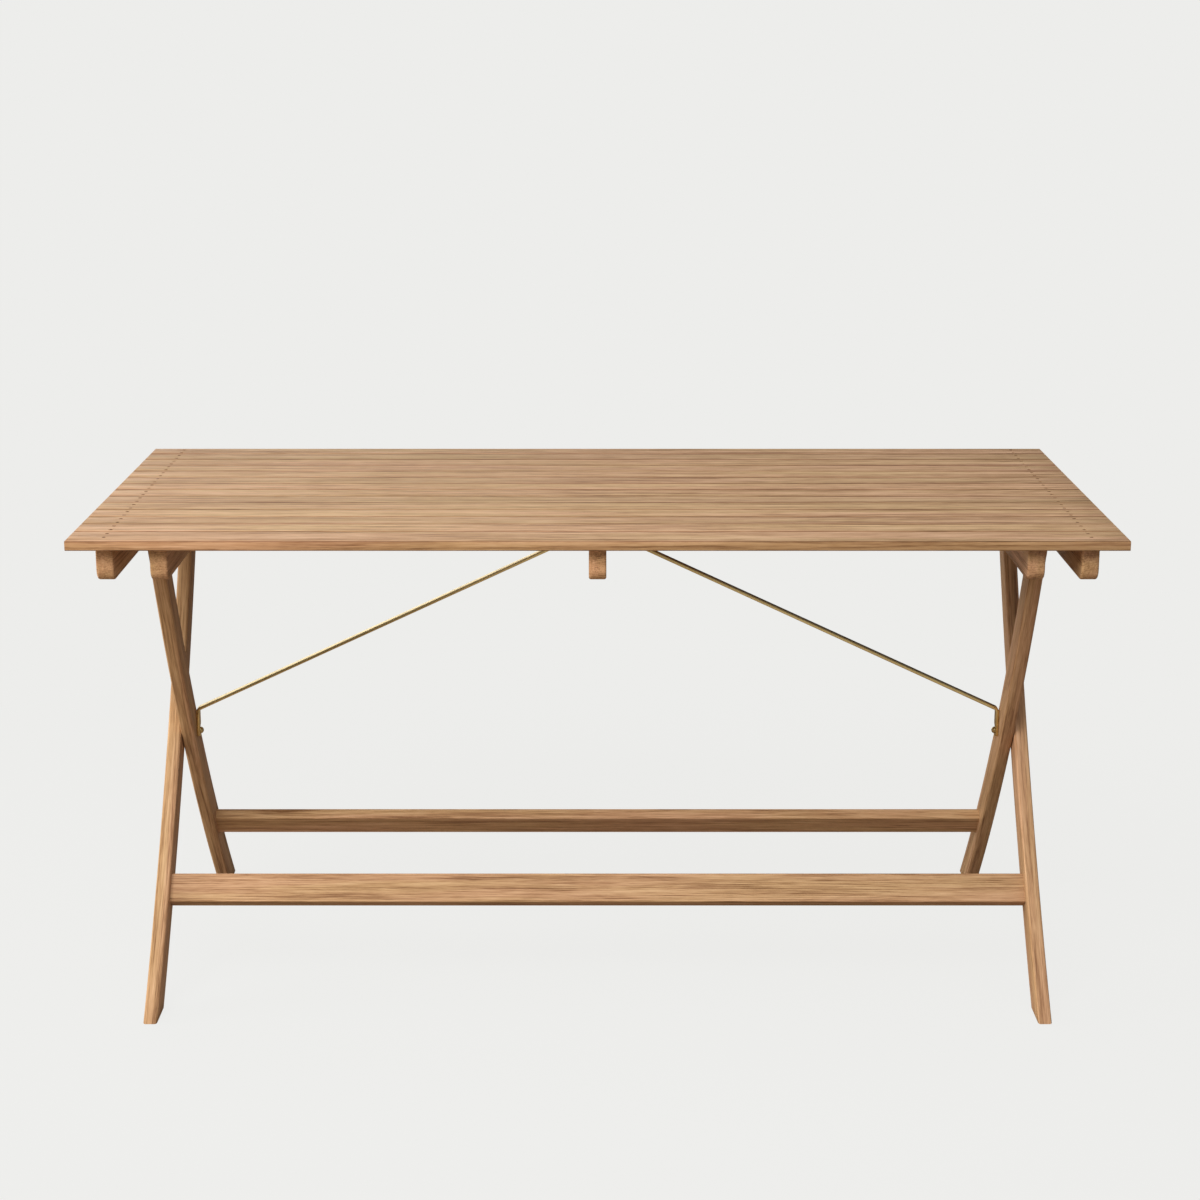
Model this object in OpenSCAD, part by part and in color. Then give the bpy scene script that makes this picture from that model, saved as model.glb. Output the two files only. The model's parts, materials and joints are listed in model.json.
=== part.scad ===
// Folding slatted table: a slatted top on five battens, carried by two crossed leg frames.
// X runs along the table, Y runs from front to back, Z is up, and the origin is on the
// floor under the middle of the top.

/* [Table top] */
// Length of the top along X
table_w = 1500; // [1200:10:1900]
// Depth of the top along Y
table_d = 745; // [620:5:900]
// Height of the top's face above the floor
table_h = 745; // [640:5:900]
// Number of slats
slat_count = 14; // [10:1:16]
// Thickness of a slat
slat_t = 14; // [11:0.5:20]
// Gap between two slats
slat_gap = 1.5; // [1:0.1:3]
// Extra width of the front slat
front_slat_extra = 16; // [0:1:30]
// Rounding of a slat's edges
slat_edge_r = 2; // [1:0.25:3]

/* [Battens] */
// Thickness of a batten along X
batten_t = 25; // [20:1:32]
// Height of a batten
batten_h = 50; // [40:1:62]
// Distance from the top's front edge to a batten's front end
batten_inset_front = 24; // [18:1:40]
// Distance from a batten's back end to the top's back edge
batten_inset_back = 6; // [0:1:20]
// Radius of a batten's lower end corners
batten_nose_r = 18; // [10:1:24]
// Rounding of a batten's lower long edges
batten_edge_r = 3; // [1:0.5:5]
// Distance from the top's end to the outer batten
end_overhang = 38; // [25:1:80]

/* [Legs] */
// Thickness of a leg along X
leg_t = 21; // [17:0.5:26]
// Width of a leg
leg_w = 45; // [37:1:54]
// Radius of a leg's gentle curve
leg_r = 3040; // [2400:10:6000]
// Rounding of a leg's long edges
leg_edge_r = 3.5; // [1:0.5:6]
// Radius of a leg's rounded top end, a little over half its width
leg_end_extra = 1; // [0.5:0.25:3]
// Distance between the front and rear feet, centre to centre
foot_spread = 612; // [520:2:680]
// Height of the crossing bolts
cross_h = 358; // [300:1:420]
// Gap beside a leg, filled by a washer
leg_gap = 1; // [0.8:0.1:2]
// Gap between the outer leg and the outer batten
bay_gap = 7.5; // [6:0.5:20]
// Gap between the legs' top ends and the slats
head_gap = 0.5; // [0.4:0.1:2]

/* [Stretchers] */
// Height of the stretchers' middle
stretcher_z = 150; // [110:1:200]
// Width of a stretcher, measured along the leg
stretcher_w = 47; // [38:1:56]
// Thickness of a stretcher
stretcher_t = 19; // [15:0.5:24]
// Rounding of a stretcher's edges
stretcher_edge_r = 2.5; // [1:0.5:4]
// Length of a tenon
tenon_l = 14; // [10:0.5:15]
// Width of a tenon
tenon_w = 32; // [24:1:36]
// Thickness of a tenon
tenon_t = 10; // [8:0.5:13]

/* [Braces] */
// Width of a brace bar
brace_w = 16; // [12:0.5:20]
// Thickness of a brace bar
brace_t = 4.5; // [3.5:0.25:6]
// Inner radius of a brace bar's bends
brace_bend_r = 3; // [2:0.5:6]
// Length of the lower tab above the crossing bolt
brace_tab_low = 32; // [24:1:40]
// Length of the upper tab below the pivot bolt
brace_tab_high = 21; // [17:1:23]
// Length of a tab past its bolt
brace_tab_end = 10; // [8:0.5:12]

/* [Bolts and screws] */
// Diameter of the crossing and hinge bolts
bolt_d = 6; // [5:0.5:8]
// Diameter of a bolt's domed head
bolt_head_d = 11; // [10:0.5:14]
// Height of a bolt's domed head
bolt_head_h = 5; // [3:0.5:6]
// Diameter of the brace pivot bolt
pin_d = 5; // [4:0.5:6]
// Diameter of a slat screw's head
screw_head_d = 5.5; // [4:0.25:7]
// Diameter of a slat screw's shank
screw_d = 3; // [2.5:0.1:3.5]
// Distance between the two screws of a slat
screw_pair = 26; // [20:1:30]

/* [Hidden] */
$fn = 64;
cut = 2;
run_gap = 0.05;
seat_gap = 0.1;
part_gap = 0.3;
teak = "#b08a63";
brass = "#b5935a";

// Slats: all the same width, apart from the wider front one
slat_z = table_h - slat_t;
slat_gaps = (slat_count - 1) * slat_gap;
slat_w = (table_d - front_slat_extra - slat_gaps) / slat_count;
slat_pitch = slat_w + slat_gap;
function slat_back(i) = -table_d / 2 + front_slat_extra + slat_w + i * slat_pitch;
function slat_mid(i) = slat_back(i) - slat_w / 2;
function slat_width(i) = i == 0 ? slat_w + front_slat_extra : slat_w;
function screw_y(i, k) = slat_mid(i) + k * screw_pair / 2;

// Battens
batten_l = table_d - batten_inset_front - batten_inset_back;
batten_y = (batten_inset_front - batten_inset_back) / 2;
batten_z = slat_z - batten_h;
outer_x = table_w / 2 - end_overhang - batten_t;
front_leg_x = outer_x - bay_gap - leg_t;
rear_leg_x = front_leg_x - leg_gap - leg_t;
inner_x = rear_leg_x - leg_gap - batten_t;
bolt_r = bolt_d / 2;
bore_r = bolt_r + run_gap;
head_r = bolt_head_d / 2;
washer_r = bolt_d + 3;
nut_r = bolt_d;
nut_h = 4;
nut_dome_h = 3;
sunk_h = nut_h + 1;

// The leg's centre line is an arc through the foot's middle and the crossing bolt
leg_end_r = leg_w / 2 + leg_end_extra;
hinge_z = slat_z - head_gap - leg_end_r;
foot_y = -foot_spread / 2;
chord = norm([foot_y, cross_h]);
chord_h = sqrt(leg_r * leg_r - chord * chord / 4);
arc_y = foot_y / 2 - chord_h * cross_h / chord;
arc_z = cross_h / 2 - chord_h * foot_y / chord;
function leg_y(z) = arc_y + sqrt(leg_r * leg_r - (z - arc_z) * (z - arc_z));
function leg_a(z) = atan2(z - arc_z, leg_y(z) - arc_y);
hinge_y = leg_y(hinge_z);
foot_a = leg_a(0) - 1;
head_a = leg_a(hinge_z) + 1;
stretcher_y = leg_y(stretcher_z);
stretcher_a = leg_a(stretcher_z);

// Braces: each turns on the centre batten and hooks over a crossing bolt
pin_r = pin_d / 2;
pin_z = batten_z + batten_h / 2;
pin_head_r = pin_r + 2.5;
brace_in_x = batten_t / 2 + part_gap;
brace_out_x = rear_leg_x - leg_gap / 2;
brace_high_z = pin_z - brace_tab_high;
brace_low_z = cross_h + brace_tab_low;
brace_a = atan2(brace_high_z - brace_low_z, brace_out_x - brace_in_x - brace_t);
hook_r = bolt_r + part_gap;
hook_a = atan2(hinge_y, hinge_z - cross_h) + 5;
head_x = brace_out_x - brace_t - part_gap;

// Screws: those from below sit under the middle of a slat, but clear of a batten's bolt
function low_y(i, bolt_y) =
    let (off = slat_mid(i) - bolt_y)
    abs(off) < low_clear ? bolt_y + (off < 0 ? -low_clear : low_clear) : slat_mid(i);
screw_r = screw_d / 2;
screw_sink = 1;
screw_head_h = 1.6;
screw_l = slat_t + 18;
low_screw_r = 2;
low_head_r = 4;
low_head_h = 3;
low_bite = slat_t / 2;
low_clear = low_head_r + bolt_r + 5;
low_sink = batten_h - 24;
thread_gap = 0.1;

module rounded_rect(w, h, r) {
    translate([-w / 2 + r, -h / 2]) square([w - 2 * r, h]);
    translate([-w / 2, -h / 2 + r]) square([w, h - 2 * r]);
    for (x = [-1, 1], y = [-1, 1])
        translate([x * (w / 2 - r), y * (h / 2 - r)]) circle(r);
}

// A rectangle whose corners are eased in three flats each
function eased_rect(w, h, r) = [
    for (q = [0:3], k = [0:3])
        let (a = 90 * q + 30 * k, sx = q == 0 || q == 3 ? 1 : -1, sy = q < 2 ? 1 : -1)
        [sx * (w / 2 - r) + r * cos(a), sy * (h / 2 - r) + r * sin(a)]
];

// Turns a shape drawn in XY and raised along Z to lie in YZ and run along X
module along_x() {
    rotate([90, 0, 90]) children();
}

// Turns a shape drawn in XY and raised along Z to lie in XZ and run along Y
module along_y() {
    rotate([90, 0, 0]) children();
}

module rod_x(x, y, z, r, l) {
    translate([x, y, z]) rotate([0, 90, 0]) cylinder(r = r, h = l);
}

// A domed head on a plane facing -X, centred on the X axis
module dome(r, h) {
    ball_r = (r * r + h * h) / (2 * h);
    rotate([0, -90, 0]) intersection() {
        translate([0, 0, h - ball_r]) sphere(ball_r);
        cylinder(r = r + cut, h = h + cut);
    }
}

module side(s) {
    mirror([s < 0 ? 1 : 0, 0, 0]) children();
}

module slat(i) {
    w = slat_width(i);
    mid = slat_back(i) - w / 2;
    color(teak) difference() {
        translate([-table_w / 2, mid, slat_z + slat_t / 2]) along_x()
            linear_extrude(table_w) rounded_rect(w, slat_t, slat_edge_r);
        for (s = [-1, 1], k = [-1, 1])
            translate([s * (outer_x + batten_t / 2), screw_y(i, k), 0]) slat_screw_hole();
        for (s = [-1, 1])
            translate([s * (inner_x + batten_t / 2), low_y(i, -hinge_y), 0]) low_screw_bite();
        translate([0, low_y(i, 0), 0]) low_screw_bite();
    }
}

module low_screw_bite() {
    translate([0, 0, slat_z - cut])
        cylinder(r = low_screw_r + thread_gap, h = low_bite + cut + part_gap);
}

module slat_screw_hole() {
    translate([0, 0, slat_z - cut]) cylinder(r = screw_r + thread_gap, h = slat_t + 2 * cut);
    translate([0, 0, table_h - screw_sink - screw_head_h])
        cylinder(r = screw_head_d / 2 + thread_gap, h = screw_sink + screw_head_h + cut);
}

module batten_blank(x) {
    intersection() {
        translate([x, batten_y, batten_z + batten_h]) along_x()
            linear_extrude(batten_t) rounded_rect(batten_l, 2 * batten_h, batten_nose_r);
        translate([x + batten_t / 2, batten_l, batten_z + batten_h]) along_y()
            linear_extrude(2 * batten_l) rounded_rect(batten_t, 2 * batten_h, batten_edge_r);
        translate([x - cut, -batten_l, batten_z - cut])
            cube([batten_t + 2 * cut, 2 * batten_l, batten_h + cut]);
    }
}

module outer_batten() {
    color(teak) difference() {
        batten_blank(outer_x);
        for (i = [0:slat_count - 1], k = [-1, 1])
            translate([outer_x + batten_t / 2, screw_y(i, k), table_h - screw_l])
                cylinder(r = screw_r + thread_gap, h = screw_l);
    }
}

module low_screw_holes(x, bolt_y) {
    for (i = [0:slat_count - 1])
        translate([x, low_y(i, bolt_y), batten_z - cut]) {
            cylinder(r = low_screw_r + thread_gap, h = batten_h + 2 * cut);
            cylinder(r = low_head_r + thread_gap, h = low_sink + cut);
        }
}

module inner_batten() {
    color(teak) difference() {
        batten_blank(inner_x);
        low_screw_holes(inner_x + batten_t / 2, -hinge_y);
        rod_x(inner_x - cut, -hinge_y, hinge_z, bore_r, batten_t + 2 * cut);
    }
}

module centre_batten() {
    color(teak) difference() {
        batten_blank(-batten_t / 2);
        low_screw_holes(0, 0);
        rod_x(-batten_t / 2 - cut, 0, pin_z, pin_r + run_gap, batten_t + 2 * cut);
    }
}

// A curved leg whose foot is at the front and whose top is at the back
module leg_blank(x) {
    difference() {
        translate([x + leg_t / 2, arc_y, arc_z]) along_x() rotate([0, 0, foot_a])
            rotate_extrude(angle = head_a - foot_a, $fn = 1440)
                translate([leg_r, 0]) polygon(eased_rect(leg_w, leg_t, leg_edge_r));
        translate([x - cut, foot_y - 200, -200]) cube([leg_t + 2 * cut, 400, 200]);
        translate([x - cut, hinge_y, hinge_z]) rotate([leg_a(hinge_z), 0, 0]) difference() {
            translate([0, -2 * leg_w, 0]) cube([leg_t + 2 * cut, 4 * leg_w, 2 * leg_w]);
            rod_x(-cut, 0, 0, leg_end_r, leg_t + 4 * cut);
        }
        rod_x(x - cut, 0, cross_h, bore_r, leg_t + 2 * cut);
        translate([x - cut, stretcher_y, stretcher_z]) rotate([stretcher_a, 0, 0])
            translate([0, -tenon_t / 2 - seat_gap, -tenon_w / 2 - seat_gap])
                cube([tenon_l + cut + part_gap, tenon_t + 2 * seat_gap, tenon_w + 2 * seat_gap]);
    }
}

module front_leg() {
    color(teak) difference() {
        leg_blank(front_leg_x);
        rod_x(front_leg_x + leg_t - sunk_h, 0, cross_h, nut_r + part_gap, sunk_h + cut);
    }
}

module rear_leg() {
    color(teak) difference() {
        mirror([0, 1, 0]) leg_blank(rear_leg_x);
        rod_x(rear_leg_x - cut, -hinge_y, hinge_z, bore_r, leg_t + 2 * cut);
        rod_x(rear_leg_x + leg_t - sunk_h, -hinge_y, hinge_z, nut_r + part_gap, sunk_h + cut);
    }
}

module stretcher(x) {
    color(teak) translate([0, stretcher_y, stretcher_z]) rotate([stretcher_a, 0, 0]) {
        translate([-x, 0, 0]) along_x() linear_extrude(2 * x)
            rounded_rect(stretcher_t, stretcher_w, stretcher_edge_r);
        translate([-x - tenon_l, -tenon_t / 2, -tenon_w / 2])
            cube([2 * (x + tenon_l), tenon_t, tenon_w]);
    }
}

// The brace bar's edge line in XZ: it runs down the upper tab, along the slope and down
// the lower tab, at distance d from the side that faces the table's middle
function brace_side(d) = concat(
    [[brace_in_x + d, pin_z + brace_tab_end]],
    bend([brace_in_x, brace_high_z], -1, d),
    bend([brace_out_x - brace_t, brace_low_z], 1, d),
    [[brace_out_x - brace_t + d, cross_h - brace_tab_end]]
);

// Points around a bend: s is -1 where the bar turns out and 1 where it turns down
function bend(p, s, d) =
    let (turn = 90 - brace_a, r = s < 0 ? brace_bend_r + brace_t - d : brace_bend_r + d,
         c = s < 0 ? [p.x + brace_t + brace_bend_r, p.y] : [p.x - brace_bend_r, p.y],
         a0 = s < 0 ? 180 : turn)
    [for (k = [0:8]) c + r * [cos(a0 - s * k * turn / 8), sin(a0 - s * k * turn / 8)]];

module tab_end(x, z, s) {
    translate([x - cut, 0, z]) difference() {
        translate([0, -brace_w, s < 0 ? -2 * brace_w : 0]) cube([brace_t + 2 * cut, 2 * brace_w, 2 * brace_w]);
        rod_x(-cut, 0, 0, brace_tab_end, brace_t + 4 * cut);
    }
}

module brace_bar() {
    color(brass) difference() {
        translate([0, brace_w / 2, 0]) along_y() linear_extrude(brace_w)
            polygon(concat(brace_side(0), [for (p = [len(brace_side(0)) - 1:-1:0]) brace_side(brace_t)[p]]));
        tab_end(brace_in_x, pin_z, 1);
        tab_end(brace_out_x - brace_t, cross_h, -1);
        rod_x(brace_in_x - cut, 0, pin_z, pin_r + run_gap, brace_t + 2 * cut);
        rod_x(brace_out_x - brace_t - cut, 0, cross_h, hook_r, brace_t + 2 * cut);
        translate([brace_out_x - brace_t - cut, 0, cross_h]) along_x()
            linear_extrude(brace_t + 2 * cut) polygon([[0, -hook_r], [brace_w, -hook_r],
                [brace_w, hook_r / cos(hook_a) + brace_w * tan(hook_a)], [0, hook_r / cos(hook_a)]]);
    }
}

module brace_pivot_bolt() {
    x = brace_in_x + brace_t + part_gap;
    color(brass) {
        rod_x(-x, 0, pin_z, pin_r, 2 * x + nut_h - 1);
        translate([-x, 0, pin_z]) dome(pin_head_r, 3);
    }
}

// A round cap nut: a short collar with a domed end, threaded for most of the collar
module cap_nut(x, y, z, r, hole_r) {
    color(brass) translate([x, y, z]) difference() {
        union() {
            rod_x(0, 0, 0, r, nut_h);
            translate([nut_h, 0, 0]) mirror([1, 0, 0]) dome(r, nut_dome_h);
        }
        rod_x(-cut, 0, 0, hole_r, nut_h + cut);
    }
}

module brace_pivot_nut() {
    cap_nut(brace_in_x + brace_t + part_gap, 0, pin_z, pin_head_r, pin_r + seat_gap);
}

module crossing_bolt() {
    color(brass) {
        rod_x(head_x, 0, cross_h, bolt_r, front_leg_x + leg_t - 1 - head_x);
        translate([head_x, 0, cross_h]) dome(head_r, bolt_head_h);
    }
}

module washer(x, y, z) {
    color(brass) difference() {
        rod_x(x + seat_gap, y, z, washer_r, leg_gap - 2 * seat_gap);
        rod_x(x - cut, y, z, bolt_r + seat_gap, leg_gap + 2 * cut);
    }
}

module crossing_washer() {
    washer(rear_leg_x + leg_t, 0, cross_h);
}

// A plain round nut, sunk in the outer face of the leg at x
module sunk_nut(x, y, z) {
    color(brass) difference() {
        rod_x(x + leg_t - nut_h - seat_gap, y, z, nut_r, nut_h);
        rod_x(x, y, z, bolt_r + seat_gap, leg_t + cut);
    }
}

module crossing_nut() {
    sunk_nut(front_leg_x, 0, cross_h);
}

module hinge_bolt() {
    color(brass) {
        rod_x(inner_x, -hinge_y, hinge_z, bolt_r, batten_t + leg_gap + leg_t - 1);
        translate([inner_x, -hinge_y, hinge_z]) dome(head_r, bolt_head_h);
    }
}

module hinge_washer() {
    washer(rear_leg_x - leg_gap, -hinge_y, hinge_z);
}

module hinge_nut() {
    sunk_nut(rear_leg_x, -hinge_y, hinge_z);
}

module slat_screws() {
    color(brass) for (i = [0:slat_count - 1], k = [-1, 1])
        translate([outer_x + batten_t / 2, screw_y(i, k), table_h - screw_sink]) {
            translate([0, 0, -screw_head_h]) cylinder(r = screw_head_d / 2, h = screw_head_h);
            translate([0, 0, -screw_l + screw_sink + 1]) cylinder(r = screw_r, h = screw_l - screw_sink - 1);
        }
}

module low_screws(x, bolt_y) {
    color(brass) for (i = [0:slat_count - 1])
        translate([x, low_y(i, bolt_y), batten_z + low_sink]) {
            translate([0, 0, -low_head_h]) cylinder(r = low_head_r, h = low_head_h);
            cylinder(r = low_screw_r, h = batten_h - low_sink + low_bite);
        }
}

slat(0);  // slat_01
slat(1);  // slat_02
slat(2);  // slat_03
slat(3);  // slat_04
slat(4);  // slat_05
slat(5);  // slat_06
slat(6);  // slat_07
slat(7);  // slat_08
slat(8);  // slat_09
slat(9);  // slat_10
slat(10);  // slat_11
slat(11);  // slat_12
slat(12);  // slat_13
slat(13);  // slat_14
side(-1) outer_batten();  // outer_batten_left
outer_batten();  // outer_batten_right
side(-1) inner_batten();  // inner_batten_left
inner_batten();  // inner_batten_right
centre_batten();
side(-1) front_leg();  // front_leg_left
front_leg();  // front_leg_right
side(-1) rear_leg();  // rear_leg_left
rear_leg();  // rear_leg_right
stretcher(front_leg_x);  // front_stretcher
mirror([0, 1, 0]) stretcher(rear_leg_x);  // rear_stretcher
side(-1) brace_bar();  // brace_bar_left
brace_bar();  // brace_bar_right
brace_pivot_bolt();
brace_pivot_nut();
side(-1) crossing_bolt();  // crossing_bolt_left
crossing_bolt();  // crossing_bolt_right
side(-1) crossing_washer();  // crossing_washer_left
crossing_washer();  // crossing_washer_right
side(-1) crossing_nut();  // crossing_nut_left
crossing_nut();  // crossing_nut_right
side(-1) hinge_bolt();  // hinge_bolt_left
hinge_bolt();  // hinge_bolt_right
side(-1) hinge_washer();  // hinge_washer_left
hinge_washer();  // hinge_washer_right
side(-1) hinge_nut();  // hinge_nut_left
hinge_nut();  // hinge_nut_right
side(-1) slat_screws();  // slat_screws_left
slat_screws();  // slat_screws_right
side(-1) low_screws(inner_x + batten_t / 2, -hinge_y);  // inner_batten_screws_left
low_screws(inner_x + batten_t / 2, -hinge_y);  // inner_batten_screws_right
low_screws(0, 0);  // centre_batten_screws
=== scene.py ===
"""A folding slatted teak table: boards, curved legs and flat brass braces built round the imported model."""

import json
import math
import random

import bmesh
import bpy
import numpy as np
from mathutils import Matrix, Vector


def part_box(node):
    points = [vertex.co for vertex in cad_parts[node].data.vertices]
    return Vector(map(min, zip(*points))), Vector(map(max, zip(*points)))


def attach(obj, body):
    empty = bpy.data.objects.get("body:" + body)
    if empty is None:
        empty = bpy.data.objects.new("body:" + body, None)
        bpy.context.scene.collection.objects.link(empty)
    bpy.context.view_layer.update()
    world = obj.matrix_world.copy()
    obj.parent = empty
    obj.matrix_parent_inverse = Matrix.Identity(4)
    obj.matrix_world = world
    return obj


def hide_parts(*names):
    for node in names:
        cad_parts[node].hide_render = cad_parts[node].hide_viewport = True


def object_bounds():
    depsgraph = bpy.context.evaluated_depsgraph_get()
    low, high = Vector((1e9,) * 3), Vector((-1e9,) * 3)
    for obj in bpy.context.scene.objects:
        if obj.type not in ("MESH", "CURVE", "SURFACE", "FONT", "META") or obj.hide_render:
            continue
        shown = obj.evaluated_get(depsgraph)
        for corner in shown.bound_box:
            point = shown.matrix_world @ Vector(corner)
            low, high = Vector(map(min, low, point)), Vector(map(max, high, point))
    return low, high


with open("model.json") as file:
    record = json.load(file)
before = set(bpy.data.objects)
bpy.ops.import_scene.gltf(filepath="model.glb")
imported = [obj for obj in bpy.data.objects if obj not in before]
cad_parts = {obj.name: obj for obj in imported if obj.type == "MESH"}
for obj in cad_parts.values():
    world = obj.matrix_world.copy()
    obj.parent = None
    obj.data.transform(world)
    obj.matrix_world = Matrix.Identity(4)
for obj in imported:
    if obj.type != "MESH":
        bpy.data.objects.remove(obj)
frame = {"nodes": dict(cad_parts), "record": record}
cad_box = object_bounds()
BODIES = frame["record"]["behaviour"]["bodies"]
BODY_OF = {node: body for body, nodes in BODIES.items() for node in nodes}

# Sizes that the model's own boxes don't give, in metres
SLAT_EDGE_R = 0.002
SLAT_END_EASE = 0.00045
SLAT_HOLE_R = 0.00285
SLAT_HOLE_DEPTH = 0.0026
HOLE_SHADE_ROOM = 0.0002
HOLE_SHADE_MARK = 2.0
SLAT_SCREW_R = 0.00272
SLAT_SCREW_HEAD_H = 0.0016
SLAT_SCREW_SHANK_R = 0.0015
SCREW_PAIR = 0.026
BATTEN_NOSE_R = 0.018
BATTEN_EDGE_R = 0.003
LOW_HOLE_R = 0.0041
LOW_HOLE_DEPTH = 0.024
LOW_SCREW_R = 0.004
LOW_SCREW_HEAD_H = 0.0026
LOW_SCREW_SHANK_R = 0.002
LEG_W = 0.045
LEG_R = 3.040
LEG_EDGE_R = 0.0035
LEG_HEAD_R = 0.0235
SHOULDER_DROP = 0.0002
FOOT_EASE = 0.3
FOOT_Y = -0.306
CROSS_Z = 0.358
HINGE_Z = 0.707
STRETCHER_Z = 0.150
STRETCHER_W = 0.047
STRETCHER_T = 0.019
STRETCHER_EDGE_R = 0.0025
TENON_L = 0.014
TENON_W = 0.032
TENON_T = 0.010
TENON_ROOT = 0.003
BRACE_W = 0.016
BRACE_T = 0.0045
BRACE_BEND_R = 0.003
BRACE_EDGE_R = 0.0005
BRACE_RUB_W = 0.0006
BRACE_TAB_LOW = 0.032
BRACE_TAB_HIGH = 0.021
BRACE_TAB_END = 0.010
BOLT_R = 0.003
BOLT_HEAD_H = 0.005
THREAD_GAP = 0.0001
PIN_R = 0.0025
PIN_HEAD_H = 0.003
PIN_NUT_COLLAR = 0.004
PIN_NUT_DOME = 0.003
PIN_Z = 0.706
HOOK_GAP = 0.0003
NUT_SINK_R = 0.0063
NUT_SINK_DEPTH = 0.005
WASHER_EASE = 0.0004
CUT_OVER = 0.002
END_OVER = 0.004
SMALL = 1e-6
BEYOND_ENDS = 9.0

# How finely round shapes are drawn
EDGE_STEPS = 4
ARC_STEPS = 10
HOLE_SIDES = 20
SINK_SIDES = 28
SCREW_SIDES = 18
TURNED_SIDES = 40
LEG_STEPS = 44
LEG_HEAD_STEPS = 26
TAB_STEPS = 16
HOOK_STEPS = 14
SHARP_ANGLE = 0.7

X_AXIS, Y_AXIS, Z_AXIS = range(3)

# The leg's centre line is an arc through the foot's middle and the crossing bolt
CHORD = math.hypot(FOOT_Y, CROSS_Z)
CHORD_H = math.sqrt(LEG_R**2 - CHORD**2 / 4)
ARC_Y = FOOT_Y / 2 - CHORD_H * CROSS_Z / CHORD
ARC_Z = CROSS_Z / 2 - CHORD_H * FOOT_Y / CHORD


def leg_y(z):
    """How far back the leg's centre line lies at a height."""
    return ARC_Y + math.sqrt(LEG_R**2 - (z - ARC_Z) ** 2)


def leg_angle(z):
    """The angle on the leg's arc at a height."""
    return math.atan2(z - ARC_Z, leg_y(z) - ARC_Y)


# ---------------------------------------------------------------- finishes


class Value:
    """One socket of a finish. Python arithmetic on it adds Math nodes."""

    def __init__(self, finish, socket):
        self.finish, self.socket = finish, socket

    def math(self, operation, *values):
        return self.finish.node("ShaderNodeMath", {"operation": operation}, dict(enumerate(values)))

    def __abs__(self):
        return self.math("ABSOLUTE", self)

    def __add__(self, other):
        return self.math("ADD", self, other)

    def __radd__(self, other):
        return self.math("ADD", other, self)

    def __sub__(self, other):
        return self.math("SUBTRACT", self, other)

    def __rsub__(self, other):
        return self.math("SUBTRACT", other, self)

    def __mul__(self, other):
        return self.math("MULTIPLY", self, other)

    def __rmul__(self, other):
        return self.math("MULTIPLY", other, self)

    def __pow__(self, other):
        return self.math("POWER", self, other)

    def __mod__(self, other):
        return self.math("MODULO", self, other)


class Finish:
    """One material being built."""

    def __init__(self, name):
        self.material = bpy.data.materials.new(name)
        self.material.use_nodes = True
        self.tree = self.material.node_tree
        self.tree.nodes.clear()

    def node(self, kind, settings=None, sockets=None, out=0):
        """Adds a node: its settings first, then the values or links of its sockets."""
        made = self.tree.nodes.new(kind)
        for key, value in (settings or {}).items():
            if key == "stops":
                ramp = made.color_ramp
                while len(ramp.elements) < len(value):
                    ramp.elements.new(0.5)
                for element, (place, colour) in zip(ramp.elements, value):
                    element.position, element.color = place, (*colour, 1)
            else:
                setattr(made, key, value)
        for key, value in (sockets or {}).items():
            if isinstance(value, Value):
                self.tree.links.new(value.socket, made.inputs[key])
            else:
                made.inputs[key].default_value = value
        return Value(self, made.outputs[out]) if len(made.outputs) else None

    def attribute(self, name, out="Fac"):
        return self.node("ShaderNodeAttribute", {"attribute_name": name}, out=out)

    def axis(self, vector, letter):
        return self.node("ShaderNodeSeparateXYZ", {}, {0: vector}, out=letter)

    def noise(self, at, scale, detail=2.0, roughness=0.5):
        """Cloudy noise that repeats about so many times in a metre, in each direction."""
        stretched = self.node("ShaderNodeVectorMath", {"operation": "MULTIPLY"}, {0: at, 1: scale})
        return self.node(
            "ShaderNodeTexNoise",
            {"normalize": True},
            {"Vector": stretched, "Scale": 1.0, "Detail": detail, "Roughness": roughness},
        )

    def step(self, value, low, high):
        """0 below low, 1 above high and smooth between them."""
        return self.node(
            "ShaderNodeMapRange",
            {"interpolation_type": "SMOOTHSTEP"},
            {"Value": value, "From Min": low, "From Max": high},
        )

    def blend(self, share, a, b, mode="MIX"):
        """Colour a, with b over it by a share."""
        a, b = (colour if isinstance(colour, Value) else (*colour, 1) for colour in (a, b))
        settings = {"data_type": "RGBA", "blend_type": mode}
        return self.node("ShaderNodeMix", settings, {0: share, 6: a, 7: b}, out=2)

    def stain_and_painted_light(self, share, wood, colour):
        """A darker or paler mark that lets the wood show through: stains, and in some places painted light and
        shade.
        """
        return self.blend(share, wood, colour, "MULTIPLY")

    def bump(self, height, strength, distance):
        return self.node("ShaderNodeBump", {}, {"Strength": strength, "Distance": distance, "Height": height})

    def surface(self, sockets):
        shader = self.node("ShaderNodeBsdfPrincipled", {}, sockets)
        self.node("ShaderNodeOutputMaterial", {}, {"Surface": shader})
        return self.material


# How often each mark of the wood repeats in a metre: along, across and through the board
WANDER = (1.7, 7.0, 7.0)
RIPPLE = (11.0, 70.0, 70.0)
RING_SPREAD = (1.1, 26.0, 26.0)
RING_WEIGHT = (2.0, 110.0, 110.0)
FIBRES = (34.0, 760.0, 760.0)
STRANDS = (11.0, 380.0, 380.0)
BANDS = (3.0, 120.0, 120.0)
STREAKS = (5.5, 140.0, 130.0)
STREAK_PATCHES = (2.4, 15.0, 15.0)
PORES = (46.0, 1500.0, 1500.0)
BLUSH = (2.4, 34.0, 34.0)
RUBS = (30.0, 90.0, 90.0)
HANDLING = (6.0, 14.0, 14.0)
RINGS_PER_METRE = 300.0
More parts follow.
